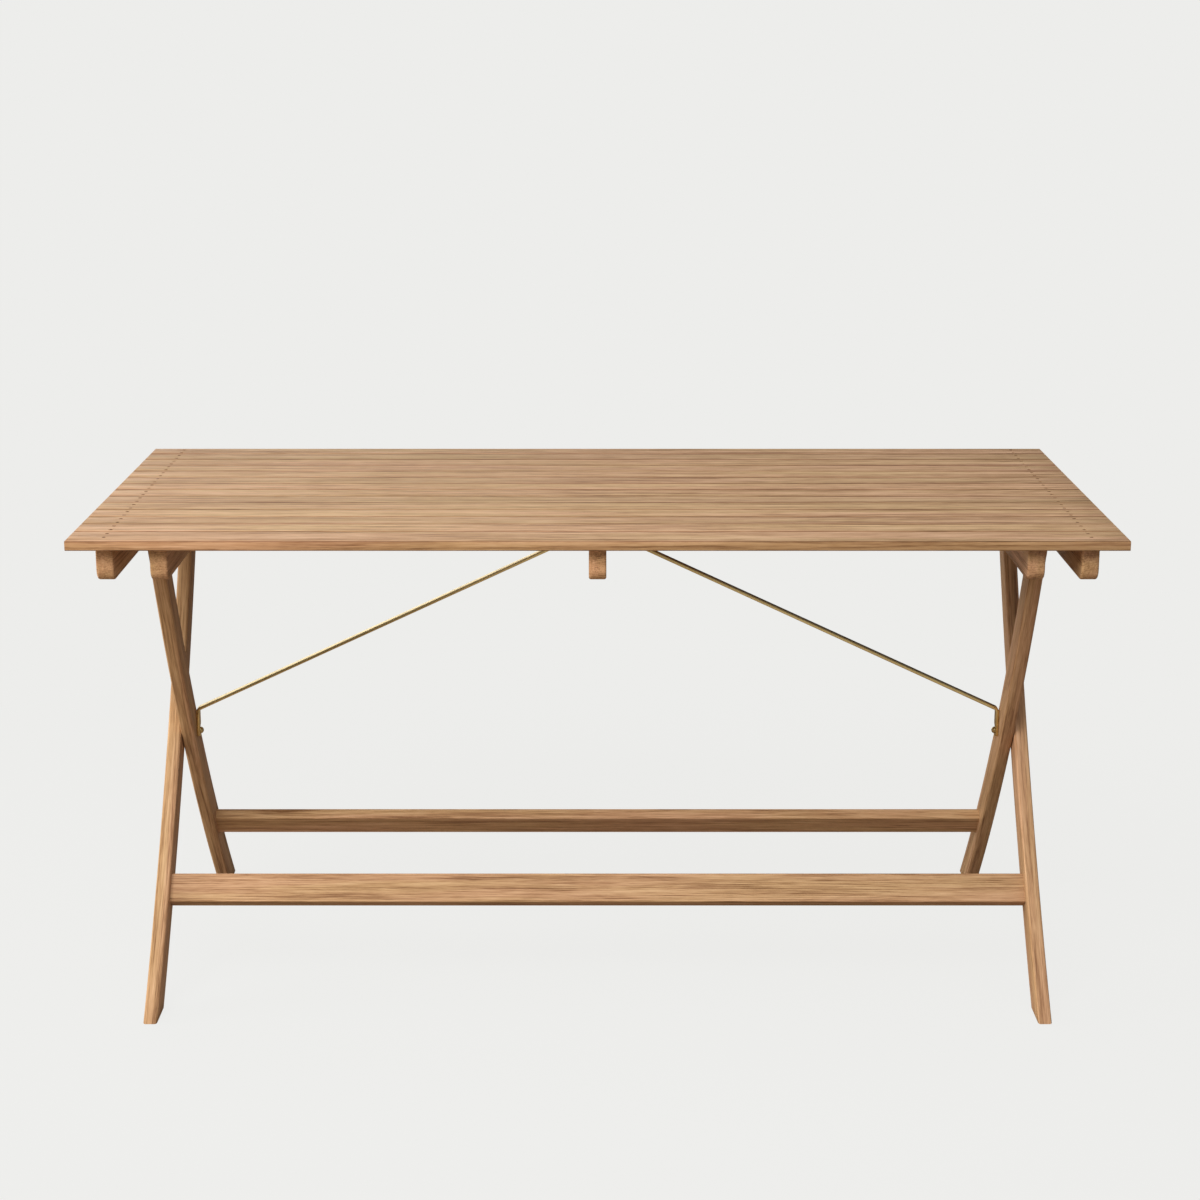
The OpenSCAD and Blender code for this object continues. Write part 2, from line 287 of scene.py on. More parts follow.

# Colours that stain the wood, and colours of painted shade
YELLOW_CAST, PINK_CAST = (0.985, 1.005, 0.90), (1.03, 0.965, 0.985)
STREAK_STAIN_AND_GAP_SHADE = (0.50, 0.39, 0.30)
PORE_STAIN = (0.50, 0.40, 0.32)
END_STAIN_AND_RIM_SHADE = (0.90, 0.82, 0.72)
# Painted shade for the slats' screw holes
PAINTED_HOLE_SHADE = (0.22, 0.15, 0.10)


def teak(name, pale, tan, brown, ring_share, contrast, gloss, worn):
    """Oiled teak. It reads each board's own grain attribute: along, across and through the board."""
    f = Finish(name)
    grain, board = f.attribute("grain", "Vector"), f.attribute("board", "Vector")
    edge, end, side = f.attribute("edge"), f.attribute("end_grain"), f.attribute("joint_side")
    across, through = f.axis(grain, "Y"), f.axis(grain, "Z")
    light, warm, figure = (f.axis(board, letter) for letter in "XYZ")

    # Growth rings round a far-off heart, wandering slowly along the board
    wander = f.noise(grain, WANDER) - 0.5
    ripple = f.noise(grain, RIPPLE) - 0.5
    drift = wander * 0.012 + ripple * 0.0022
    radius = ((across + drift) ** 2.0 + (through + wander * 0.006) ** 2.0) ** 0.5
    spread = f.noise(grain, RING_SPREAD, detail=1.0)
    turn = (radius * RINGS_PER_METRE + spread * 3.0) % 1.0
    late = f.step(turn, 0.30, 0.88) * (1.0 - f.step(turn, 0.90, 1.0))
    weight = f.step(f.noise(grain, RING_WEIGHT), 0.40, 0.62)
    rings = late * (0.2 + 0.8 * weight)

    # Fibres, strands, broad bands, dark mineral streaks and short open pores
    fibres = f.noise(grain, FIBRES, detail=3.0, roughness=0.62)
    strands = f.noise(grain, STRANDS, detail=3.0, roughness=0.66)
    bands = f.noise(grain, BANDS, detail=4.0, roughness=0.66)
    streak_lines = f.step(f.noise(grain, STREAKS, roughness=0.6), 0.565, 0.64)
    streaks = streak_lines * f.step(f.noise(grain, STREAK_PATCHES, detail=1.0), 0.36, 0.64) * figure
    open_grain = f.step(rings + strands * 0.5, 0.2, 0.8)
    pores = f.step(f.noise(grain, PORES, roughness=0.6), 0.58, 0.68) * open_grain

    # The board's colour, then the marks on it
    grown = (bands - 0.5) * 1.25 + (strands - 0.5) * 1.45 + (fibres - 0.5) * 0.9 - rings * ring_share
    tone = 0.57 + grown * contrast * (1.0 - end * 0.45)
    wood = f.node("ShaderNodeValToRGB", {"stops": [(0.0, brown), (0.5, tan), (1.0, pale)]}, {0: tone})
    blush = f.step(f.noise(grain, BLUSH), 0.36, 0.64) * 0.7 + warm * 0.3
    wood = f.stain_and_painted_light(1.0, wood, f.blend(blush, YELLOW_CAST, PINK_CAST))
    wood = f.stain_and_painted_light(streaks * 0.75, wood, STREAK_STAIN_AND_GAP_SHADE)
    wood = f.stain_and_painted_light(pores * 0.5, wood, PORE_STAIN)
    # End grain is stained darker; on the slats' side faces, the front edge too, the same stain is painted shade
    wood = f.stain_and_painted_light(end, wood, END_STAIN_AND_RIM_SHADE)
    # Painted shade: a dark line along each slat's long edges, where the gaps between slats lie in shade
    painted_gap_shade = f.step(abs(side), 0.86, 0.98)
    wood = f.stain_and_painted_light(painted_gap_shade * (1.0 - end) * 0.9, wood, STREAK_STAIN_AND_GAP_SHADE)
    # Painted shade on the walls of the slats' screw holes
    wood = f.stain_and_painted_light(f.step(abs(side), 1.2, HOLE_SHADE_MARK - 0.2), wood, PAINTED_HOLE_SHADE)
    rub = f.step(f.noise(grain, RUBS, detail=3.0, roughness=0.6), 0.35, 0.7)
    wood = f.stain_and_painted_light(edge * rub * 0.6, wood, worn)
    # Each board's brightness: a random tone on slats and legs, painted light on battens and stretchers
    shade = f.node("ShaderNodeCombineXYZ", {}, {0: light, 1: light, 2: light})
    wood = f.stain_and_painted_light(1.0, wood, shade)

    handling = f.noise(grain, HANDLING, detail=3.0)
    roughness = gloss + (fibres - 0.5) * 0.18 + (handling - 0.5) * 0.14 - edge * rub * 0.08 + end * 0.12
    height = (fibres - 0.5) * 0.5 - pores * 0.8 - rings * 0.35 - streaks * 0.2
    normal = f.bump(height, strength=0.45, distance=0.00022)
    return f.surface({"Base Color": wood, "Roughness": roughness, "Normal": normal, "Specular IOR Level": 0.42})


def polished_brass(name, bright, dull, dull_share):
    """Brass with a fine drawn grain along the piece, faint finger marks and tarnish in patches."""
    f = Finish(name)
    place = f.node("ShaderNodeTexCoord", out="Object")
    grain, edge = f.attribute("grain", "Vector"), f.attribute("edge")
    drawn = f.noise(grain, (14.0, 2400.0, 2400.0), roughness=0.6)
    patches = f.noise(place, (17.0, 40.0, 17.0), detail=4.0, roughness=0.6)
    specks = f.step(f.noise(place, (500.0, 500.0, 500.0)), 0.66, 0.74)
    tarnish = f.step(patches + (drawn - 0.5) * 0.12, 0.48, 0.68) * dull_share + specks * 0.12
    colour = f.blend(tarnish, bright, dull)
    colour = f.blend(edge * 0.35, colour, (1.08, 1.07, 1.03), "MULTIPLY")
    roughness = 0.30 + (drawn - 0.5) * 0.14 + tarnish * 0.2 - edge * 0.04
    normal = f.bump(drawn - specks * 0.4, strength=0.07, distance=0.00002)
    return f.surface({"Base Color": colour, "Roughness": roughness, "Metallic": 1.0, "Normal": normal})


def aged_brass(name, bright, dark):
    """Brass gone brown and dark in its recess, partly tarnish and partly painted shade, with paler rubbed rims."""
    f = Finish(name)
    place = f.node("ShaderNodeTexCoord", out="Object")
    blotches = f.noise(place, (420.0, 420.0, 420.0), detail=3.0, roughness=0.6)
    rubbed = f.attribute("edge") * f.step(blotches, 0.35, 0.6)
    colour = f.blend(rubbed * 0.7 + f.step(blotches, 0.5, 0.7) * 0.3, dark, bright)
    roughness = 0.66 - rubbed * 0.22 + (blotches - 0.5) * 0.2
    normal = f.bump(blotches, strength=0.3, distance=0.00008)
    return f.surface({"Base Color": colour, "Roughness": roughness, "Metallic": 0.3, "Normal": normal})


TOP_TEAK = teak(
    "oiled_teak_top",
    pale=(0.640, 0.440, 0.285),
    tan=(0.475, 0.298, 0.170),
    brown=(0.215, 0.112, 0.055),
    ring_share=0.32,
    contrast=1.35,
    gloss=0.56,
    worn=(0.80, 0.71, 0.60),
)
FRAME_TEAK = teak(
    "oiled_teak_frame",
    pale=(0.625, 0.405, 0.235),
    tan=(0.460, 0.270, 0.140),
    brown=(0.205, 0.098, 0.042),
    ring_share=0.28,
    contrast=1.15,
    gloss=0.54,
    worn=(1.10, 1.08, 1.05),
)
BAR_BRASS = polished_brass("drawn_brass_bar", (0.80, 0.63, 0.30), (0.54, 0.40, 0.17), dull_share=0.2)
TURNED_BRASS = polished_brass("turned_brass", (0.70, 0.54, 0.25), (0.34, 0.25, 0.11), dull_share=0.65)
# Screw heads taken nearly black: partly aged brass, partly painted shade of their recesses
SCREW_BRASS_AND_PAINTED_SHADE = aged_brass("aged_brass_screw_and_painted_shade", bright=(0.07, 0.045, 0.025), dark=(0.012, 0.008, 0.005))


# ---------------------------------------------------------------- geometry trees


def shown(name, data):
    """Puts a mesh, light or camera into the scene."""
    thing = bpy.data.objects.new(name, data)
    bpy.context.scene.collection.objects.link(thing)
    return thing


def evaluated(thing):
    """The plain mesh that an object's modifiers make."""
    bpy.context.view_layer.update()
    graph = bpy.context.evaluated_depsgraph_get()
    return bpy.data.meshes.new_from_object(thing.evaluated_get(graph))


class Tree:
    """A geometry node tree with named inputs."""

    def __init__(self, name, inputs):
        self.group = bpy.data.node_groups.new(name, "GeometryNodeTree")
        self.sockets = {}
        self.group.interface.new_socket("Geometry", in_out="INPUT", socket_type="NodeSocketGeometry")
        for label, (kind, value) in inputs.items():
            made = self.group.interface.new_socket(label, in_out="INPUT", socket_type=kind)
            if value is not None:
                made.default_value = value
            self.sockets[label] = made.identifier
        self.group.interface.new_socket("Geometry", in_out="OUTPUT", socket_type="NodeSocketGeometry")
        self.start = self.group.nodes.new("NodeGroupInput")
        self.end = self.group.nodes.new("NodeGroupOutput")

    def node(self, kind, settings=None, sockets=None, out=0):
        made = self.group.nodes.new(kind)
        for key, value in (settings or {}).items():
            setattr(made, key, value)
        for key, value in (sockets or {}).items():
            if isinstance(value, bpy.types.NodeSocket):
                self.group.links.new(value, made.inputs[key])
            else:
                made.inputs[key].default_value = value
        return made.outputs[out]

    def given(self, label):
        return self.start.outputs[label]

    def finish(self, geometry):
        real = self.node("GeometryNodeRealizeInstances", {}, {0: geometry})
        finished = self.node("GeometryNodeSetMaterial", {}, {0: real, "Material": self.given("Finish")})
        self.group.links.new(finished, self.end.inputs[0])

    def make(self, base, values):
        """Runs the tree on a base mesh and gives back the plain mesh that it makes."""
        holder = shown("pattern", base)
        modifier = holder.modifiers.new("tree", "NODES")
        modifier.node_group = self.group
        for label, value in values.items():
            modifier[self.sockets[label]] = value
        made = evaluated(holder)
        holder.modifiers.remove(modifier)
        bpy.data.objects.remove(holder)
        return made


def swept_board_tree():
    """A bar of a given section, swept along the edges of the base mesh."""
    tree = Tree(
        "swept_board",
        {
            "Width": ("NodeSocketFloat", 0.05),
            "Thickness": ("NodeSocketFloat", 0.014),
            "Edge Radius": ("NodeSocketFloat", 0.002),
            "Edge Steps": ("NodeSocketInt", EDGE_STEPS),
            "Finish": ("NodeSocketMaterial", None),
        },
    )
    path = tree.node("GeometryNodeMeshToCurve", {}, {0: tree.given("Geometry")})
    path = tree.node("GeometryNodeSetCurveNormal", {"mode": "Z_UP"}, {0: path})
    section = tree.node(
        "GeometryNodeCurvePrimitiveQuadrilateral",
        {"mode": "RECTANGLE"},
        {"Width": tree.given("Width"), "Height": tree.given("Thickness")},
    )
    section = tree.node(
        "GeometryNodeFilletCurve",
        {"mode": "POLY"},
        {
            "Curve": section,
            "Radius": tree.given("Edge Radius"),
            "Count": tree.given("Edge Steps"),
            "Limit Radius": True,
        },
    )
    ends = {"Curve": path, "Profile Curve": section, "Fill Caps": True}
    tree.finish(tree.node("GeometryNodeCurveToMesh", {}, ends))
    return tree


def hardware_row_tree():
    """A copy of one small part on every point of the base mesh."""
    tree = Tree(
        "hardware_row",
        {
            "Part": ("NodeSocketObject", None),
            "Spin": ("NodeSocketFloat", math.tau),
            "Seed": ("NodeSocketInt", 0),
            "Finish": ("NodeSocketMaterial", None),
        },
    )
    part = tree.node("GeometryNodeObjectInfo", {}, {"Object": tree.given("Part")}, out="Geometry")
    spin = tree.node(
        "FunctionNodeRandomValue",
        {"data_type": "FLOAT"},
        {2: 0.0, 3: tree.given("Spin"), "Seed": tree.given("Seed")},
        out=1,
    )
    turn = tree.node("ShaderNodeCombineXYZ", {}, {"Z": spin})
    row = {"Points": tree.given("Geometry"), "Instance": part, "Rotation": turn}
    tree.finish(tree.node("GeometryNodeInstanceOnPoints", {}, row))
    return tree


SWEPT_BOARD = swept_board_tree()
HARDWARE_ROW = hardware_row_tree()


# ---------------------------------------------------------------- mesh work


def line_mesh(points):
    """A line through the points, for a tree to follow."""
    mesh = bpy.data.meshes.new("line")
    mesh.from_pydata([tuple(p) for p in points], [(i, i + 1) for i in range(len(points) - 1)], [])
    return mesh


def point_mesh(points):
    """Loose points, for a tree to put parts on."""
    mesh = bpy.data.meshes.new("points")
    mesh.from_pydata([tuple(p) for p in points], [], [])
    return mesh


def closed_mesh(bm, name):
    """The finished mesh, with every face turned outwards."""
    bmesh.ops.recalc_face_normals(bm, faces=bm.faces)
    mesh = bpy.data.meshes.new(name)
    bm.to_mesh(mesh)
    bm.free()
    return mesh


def prism(outline, low, high, axis):
    """A closed bar whose outline is drawn in the other two axes and runs from low to high along axis."""
    bm = bmesh.new()

    def corner(p, h):
        return {X_AXIS: (h, p[0], p[1]), Y_AXIS: (p[0], h, p[1]), Z_AXIS: (p[0], p[1], h)}[axis]

    lower = [bm.verts.new(corner(p, low)) for p in outline]
    upper = [bm.verts.new(corner(p, high)) for p in outline]
    bm.faces.new(lower)
    bm.faces.new(upper)
    count = len(outline)
    for i in range(count):
        j = (i + 1) % count
        bm.faces.new((lower[i], lower[j], upper[j], upper[i]))
    return closed_mesh(bm, "prism")


def joined(meshes):
    """Several meshes as one, each keeping its own faces."""
    bm = bmesh.new()
    for mesh in meshes:
        bm.from_mesh(mesh)
    made = bpy.data.meshes.new("joined")
    bm.to_mesh(made)
    bm.free()
    return made


def arc(x, y, r, start, stop, steps):
    """Points round a centre from one angle to another."""
    angles = [start + (stop - start) * k / steps for k in range(steps + 1)]
    return [(x + r * math.cos(a), y + r * math.sin(a)) for a in angles]


def circle(x, y, r, sides):
    return [(x + r * math.cos(math.tau * k / sides), y + r * math.sin(math.tau * k / sides)) for k in range(sides)]


def worked(mesh, cutters=(), joins=(), ease=0.0, ease_steps=2, ease_angle=0.6, weights=False):
    """The mesh after cuts, joins and an eased edge, with normals that keep the flats flat."""
    holder = shown("work", mesh)
    helpers = []
    for kind, pieces in (("UNION", joins), ("DIFFERENCE", cutters)):
        for piece in pieces:
            helpers.append(shown("helper", piece))
            cut = holder.modifiers.new("cut", "BOOLEAN")
            cut.operation, cut.solver, cut.object = kind, "EXACT", helpers[-1]
    if ease:
        bevel = holder.modifiers.new("ease", "BEVEL")
        bevel.width, bevel.segments = ease, ease_steps
        bevel.limit_method = "WEIGHT" if weights else "ANGLE"
        bevel.angle_limit = ease_angle
        bevel.use_clamp_overlap = False
        bevel.miter_outer = "MITER_ARC"
    holder.modifiers.new("normals", "WEIGHTED_NORMAL").keep_sharp = True
    made = evaluated(holder)
    for helper in helpers:
        bpy.data.objects.remove(helper)
    bpy.data.objects.remove(holder)
    return made


def smooth(mesh, angle=SHARP_ANGLE):
    """Shades the mesh smooth but for edges sharper than an angle."""
    mesh.shade_smooth()
    mesh.set_sharp_from_angle(angle=angle)
    return mesh


def coordinates(mesh):
    """Every point of the mesh as a row of x, y and z."""
    co = np.zeros(len(mesh.vertices) * 3, np.float32)
    mesh.vertices.foreach_get("co", co)
    return co.reshape(-1, 3).astype(float)


def add_attribute(mesh, name, kind, domain, values):
    layer = mesh.attributes.new(name, kind, domain)
    layer.data.foreach_set("vector" if kind == "FLOAT_VECTOR" else "value", np.asarray(values, np.float32).ravel())


def near_edge(board, half, radius):
    """1 in the middle of a rounded edge and 0 on the flats, from each point's distances to the faces."""
    gap = half - np.abs(board)
    best = np.zeros(len(board))
    for a, b in ((0, 1), (0, 2), (1, 2)):
        r = radius if (a, b) == (1, 2) else radius * 0.6
        both = (gap[:, a] < r * 1.02) & (gap[:, b] < r * 1.02)
        share = np.where(both, 1 - np.abs(gap[:, a] - gap[:, b]) / r, 0)
        best = np.maximum(best, np.clip(share, 0, 1))
    return best


def lay_grain(mesh, to_board, along, half, radius, luck, shade=None, end_share=1.0, rim_shade_share=0.0):
    """Stores where each point lies in its board, so that the grain follows the board."""
    co = coordinates(mesh)
    board = to_board(co)
    start, heart = luck.uniform(-9, 9), luck.choice((-1, 1)) * luck.uniform(0.07, 0.16)
    shift = np.array([start, heart, luck.uniform(-0.05, 0.05)])
    add_attribute(mesh, "grain", "FLOAT_VECTOR", "POINT", board + shift)
    add_attribute(mesh, "edge", "FLOAT", "POINT", near_edge(board, np.array(half), radius))
    # Where each point lies across the slat, for the painted shade along its gaps and in its screw holes
    if rim_shade_share:
        add_attribute(mesh, "joint_side", "FLOAT", "POINT", board[:, 1] / half[1])
    # A random tone, or the one given, which on battens and stretchers is painted light
    tone_and_painted_light_warm_figure = shade or (luck.uniform(0.95, 1.05), luck.uniform(0.1, 0.9), luck.uniform(0.1, 0.5))
    add_attribute(mesh, "board", "FLOAT_VECTOR", "POINT", np.tile(tone_and_painted_light_warm_figure, (len(co), 1)))
    # End grain on the ends; on the slats' side faces the share given is painted shade
    ends = []
    for face in mesh.polygons:
        on_end = abs(face.normal.dot(along(face.center))) > 0.75
        on_rim = abs(face.normal.z) < 0.5
        ends.append(end_share if on_end else rim_shade_share if on_rim else 0.0)
    add_attribute(mesh, "end_grain", "FLOAT", "FACE", ends)


def place(name, mesh, nodes, finish=None):
    """Makes the finished piece: it rides on its nodes' body and stands for them."""
    if finish:
        mesh.materials.clear()
        mesh.materials.append(finish)
    mesh.name = name
    piece = shown(name, mesh)
    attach(piece, BODY_OF[nodes[0]])
    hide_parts(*nodes)


# ---------------------------------------------------------------- the top


SLATS = [f"slat_{i:02d}" for i in range(1, 15)]
BATTENS = ["outer_batten_left", "outer_batten_right", "inner_batten_left", "inner_batten_right", "centre_batten"]
outer_lo, outer_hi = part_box("outer_batten_right")
OUTER_X = (outer_lo.x + outer_hi.x) / 2
TOP_Z = cad_box[1].z


def slat_middle(name):
    """The slat's middle as its screws see it: the front slat's extra width is all in front of them."""
    plain_lo, plain_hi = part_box(SLATS[-1])
    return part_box(name)[1].y - (plain_hi.y - plain_lo.y) / 2


def paint_hole_shade(mesh, screw_y):
    """Paints shade on the walls of a slat's screw holes, darkening the recess."""
    co = coordinates(mesh)
    from_row = np.hypot(np.abs(co[:, 0]) - OUTER_X, np.abs(co[:, 1] - screw_y) - SCREW_PAIR / 2)
    in_hole = (from_row < SLAT_HOLE_R + HOLE_SHADE_ROOM) & (co[:, 2] < TOP_Z - HOLE_SHADE_ROOM)
    side = mesh.attributes["joint_side"].data
    values = np.empty(len(co), np.float32)
    side.foreach_get("value", values)
    values[in_hole] = HOLE_SHADE_MARK
    side.foreach_set("value", values)


def make_slats():
    luck = random.Random(11)
    shades = (1.02, 1.05, 0.96, 1.06, 1.02, 0.92, 1.05, 1.09, 0.98, 1.08, 1.02, 1.05, 0.94, 0.99)
    for name, shade in zip(SLATS, shades):
        lo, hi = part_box(name)
        middle, size = (lo + hi) / 2, hi - lo
        mesh = SWEPT_BOARD.make(
            line_mesh([(lo.x, middle.y, middle.z), (hi.x, middle.y, middle.z)]),
            {
                "Width": size.y,
                "Thickness": size.z,
                "Edge Radius": SLAT_EDGE_R,
                "Edge Steps": EDGE_STEPS,
                "Finish": TOP_TEAK,
            },
        )
        screw_y = slat_middle(name)
        rims = [
            circle(side * OUTER_X, screw_y + pair * SCREW_PAIR / 2, SLAT_HOLE_R, HOLE_SIDES)
            for side in (-1, 1)
            for pair in (-1, 1)
        ]
        holes = [prism(rim, TOP_Z - SLAT_HOLE_DEPTH, TOP_Z + SLAT_HOLE_DEPTH, Z_AXIS) for rim in rims]
        mesh = worked(mesh, [joined(holes)], ease=SLAT_END_EASE, ease_angle=0.9)
        smooth(mesh)
        lay_grain(
            mesh,
            to_board=lambda co, m=middle: co - np.array(m),
            along=lambda centre: Vector((1, 0, 0)),
            half=size / 2,
            radius=SLAT_EDGE_R,
            luck=luck,
            shade=(shade, luck.uniform(0.0, 1.0), luck.uniform(0.35, 1.0)),
            # Painted shade on the slats' side faces and along their long edges
            rim_shade_share=0.9,
        )
        paint_hole_shade(mesh, screw_y)
        place("teak_" + name, mesh, [name], TOP_TEAK)


def batten_mesh(node):
    """A batten with round lower corners at both ends. Its ends and lower corners are marked for easing."""
    lo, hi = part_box(node)
    r, low = BATTEN_NOSE_R, lo.z + BATTEN_NOSE_R
    outline = [
        (lo.y, hi.z),
        *arc(lo.y + r, low, r, math.pi, 1.5 * math.pi, ARC_STEPS),
        *arc(hi.y - r, low, r, -math.pi / 2, 0.0, ARC_STEPS),
        (hi.y, hi.z),
    ]
    mesh = prism(outline, lo.x, hi.x, X_AXIS)
    values = []
    for edge in mesh.edges:
        a, b = (mesh.vertices[v].co for v in edge.vertices)
        lengthwise = abs(a.x - b.x) > SMALL
        at_top = a.z > hi.z - SMALL and b.z > hi.z - SMALL
        values.append(0.0 if lengthwise or at_top else 1.0)
    add_attribute(mesh, "bevel_weight_edge", "FLOAT", "EDGE", values)
    return mesh


def make_battens():
    luck = random.Random(23)
    for node in BATTENS:
        lo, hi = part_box(node)
        middle, size = (lo + hi) / 2, hi - lo
        mesh = worked(batten_mesh(node), ease=BATTEN_EDGE_R, ease_steps=EDGE_STEPS, weights=True)
        if node in LOW_SCREWS:
            low, high = lo.z - LOW_HOLE_DEPTH, lo.z + LOW_HOLE_DEPTH
            rims = [circle(x, y, LOW_HOLE_R, HOLE_SIDES) for x, y in LOW_SCREWS[node]]
            mesh = worked(mesh, [joined([prism(rim, low, high, Z_AXIS) for rim in rims])])
        smooth(mesh)
        # Painted light: the battens are made paler, the centre one most, for the shade they get under the top
        light = 1.26 if node == "centre_batten" else 1.04
        lay_grain(
            mesh,
            to_board=lambda co, m=middle: (co - np.array(m))[:, [1, 2, 0]],
            along=lambda centre: Vector((0, 1, 0)),
            half=(size.y / 2, size.z / 2, size.x / 2),
            radius=BATTEN_EDGE_R,
            luck=luck,
            shade=(light, luck.uniform(0.1, 0.9), luck.uniform(0.1, 0.5)),
            end_share=0.4,
        )
        place("teak_" + node, mesh, [node], FRAME_TEAK)


# ---------------------------------------------------------------- screws


def islands(node):
    """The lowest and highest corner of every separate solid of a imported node, in order of place."""
    bm = bmesh.new()
    bm.from_mesh(frame["nodes"][node].data)
    bmesh.ops.remove_doubles(bm, verts=bm.verts, dist=SMALL)
    seen, found = set(), []
    for start in bm.verts:
        if start.index in seen:
            continue
        stack, group = [start], []
        seen.add(start.index)
        while stack:
            v = stack.pop()
            group.append(v.co.copy())
            for e in v.link_edges:
                w = e.other_vert(v)
                if w.index not in seen:
                    seen.add(w.index)
                    stack.append(w)
        corners = [Vector([pick(p[i] for p in group) for i in range(3)]) for pick in (min, max)]
        found.append(corners)
    bm.free()
    return sorted(found, key=lambda pair: (round(pair[0].x, 4), round(pair[0].y, 4)))


LOW_SCREW_ROWS = ["inner_batten_screws_left", "inner_batten_screws_right", "centre_batten_screws"]
LOW_SCREWS = {
    batten: [((low.x + high.x) / 2, (low.y + high.y) / 2) for low, high in islands(node)]
    for batten, node in zip(BATTENS[2:], LOW_SCREW_ROWS)
}


def turned_ring(bm, r, h, sides):
    if r < SMALL:
        return [bm.verts.new((0, 0, h))]
    return [bm.verts.new((x, y, h)) for x, y in circle(0, 0, r, sides)]


def turned_profile(points, sides):
    """A turned part round Z from (radius, height) points, closed at both ends."""
    bm = bmesh.new()
    rings = [turned_ring(bm, r, h, sides) for r, h in points]
    for a, b in zip(rings, rings[1:]):
        for k in range(sides):
            n = (k + 1) % sides
            corners = [a[k % len(a)], a[n % len(a)], b[n % len(b)], b[k % len(b)]]
            bm.faces.new([v for i, v in enumerate(corners) if v not in corners[:i]])
    for ring in (rings[0], rings[-1]):
        if len(ring) > 1:
            bm.faces.new(ring)
    return closed_mesh(bm, "turned")


def screw_mesh(head_r, head_h, shank_r, length):
    """A flat-headed wood screw whose head's top is at Z 0, with a hexagonal socket."""
    r = head_r
    profile = [
        (0.0, -length),
        (shank_r * 0.35, -length + shank_r),
        (shank_r * 0.9, -length + 3.2 * shank_r),
        (shank_r, -length + 4.2 * shank_r),
        (shank_r, -head_h),
        (r * 0.96, -head_h),
        (r, -head_h * 0.86),
        (r, -head_h * 0.16),
        (r * 0.93, 0.0),
        (r * 0.52, 0.0),
        (r * 0.47, -head_h * 0.12),
        (r * 0.47, -head_h * 0.62),
        (0.0, -head_h * 0.74),
    ]
    mesh = turned_profile(profile, SCREW_SIDES)
    co = coordinates(mesh)
    from_axis = np.hypot(co[:, 0], co[:, 1])
    socket = (from_axis < r * 0.6) & (co[:, 2] > -head_h * 0.8)
    angle = np.arctan2(co[:, 1], co[:, 0])
    hexagon = 0.88 / np.cos((angle + math.pi / 6) % (math.pi / 3) - math.pi / 6)
    co[socket, :2] *= hexagon[socket, None]
    mesh.vertices.foreach_set("co", co.astype(np.float32).ravel())
    from_rim = np.abs(np.hypot(co[:, 0], co[:, 1]) - r * 0.97)
    rim = np.clip(1 - from_rim / (r * 0.2), 0, 1) * (co[:, 2] > -head_h * 0.3)
    add_attribute(mesh, "edge", "FLOAT", "POINT", rim)
    return smooth(mesh, 0.8)


def make_screws():
    low, high = islands("slat_screws_left")[0]
    slat_screw = screw_mesh(SLAT_SCREW_R, SLAT_SCREW_HEAD_H, SLAT_SCREW_SHANK_R, high.z - low.z)
    low, high = islands("centre_batten_screws")[0]
    low_screw = screw_mesh(LOW_SCREW_R, LOW_SCREW_HEAD_H, LOW_SCREW_SHANK_R, high.z - low.z)
    low_screw.transform(Matrix.Rotation(math.pi, 4, "X"))
    rows = [
        (slat_screw, 1, 0, ["slat_screws_left", "slat_screws_right"]),
        (low_screw, 0, 5, LOW_SCREW_ROWS),
    ]
    for mesh, head_end, first_seed, nodes in rows:
        pattern = bpy.data.objects.new("screw_pattern", mesh)
        for seed, node in enumerate(nodes, first_seed):
            heads = [(*((pair[0] + pair[1]) / 2).xy, pair[head_end].z) for pair in islands(node)]
            values = {"Part": pattern, "Spin": math.tau, "Seed": seed, "Finish": SCREW_BRASS_AND_PAINTED_SHADE}
            place("row_of_" + node, HARDWARE_ROW.make(point_mesh(heads), values), [node])
        bpy.data.objects.remove(pattern)


# ---------------------------------------------------------------- legs and stretchers


def leg_point(radius, angle, back):
    """A point at a radius and angle of the leg's arc. A rear leg is the front one turned front to back."""
    y = ARC_Y + radius * math.cos(angle)
    return (-y if back else y, ARC_Z + radius * math.sin(angle))


def leg_outline(back):
    """The inner and outer side of a leg from its level foot to its shoulders, and its round head."""
    half = LEG_W / 2
    head = leg_angle(HINGE_Z)
    shoulder = head - math.sqrt(LEG_HEAD_R**2 - half**2) / LEG_R - SHOULDER_DROP
    rails = []
    for radius in (LEG_R - half, LEG_R + half):
        foot = math.asin(-ARC_Z / radius)
        angles = [foot + (shoulder - foot) * (k / LEG_STEPS) for k in range(LEG_STEPS + 1)]
        rails.append([leg_point(radius, angle, back) for angle in angles])
    start = math.acos(half / LEG_HEAD_R)
    cap = arc(leg_y(HINGE_Z), HINGE_Z, LEG_HEAD_R, head - start, head + math.pi + start, LEG_HEAD_STEPS)
    return *rails, [(-y if back else y, z) for y, z in cap]


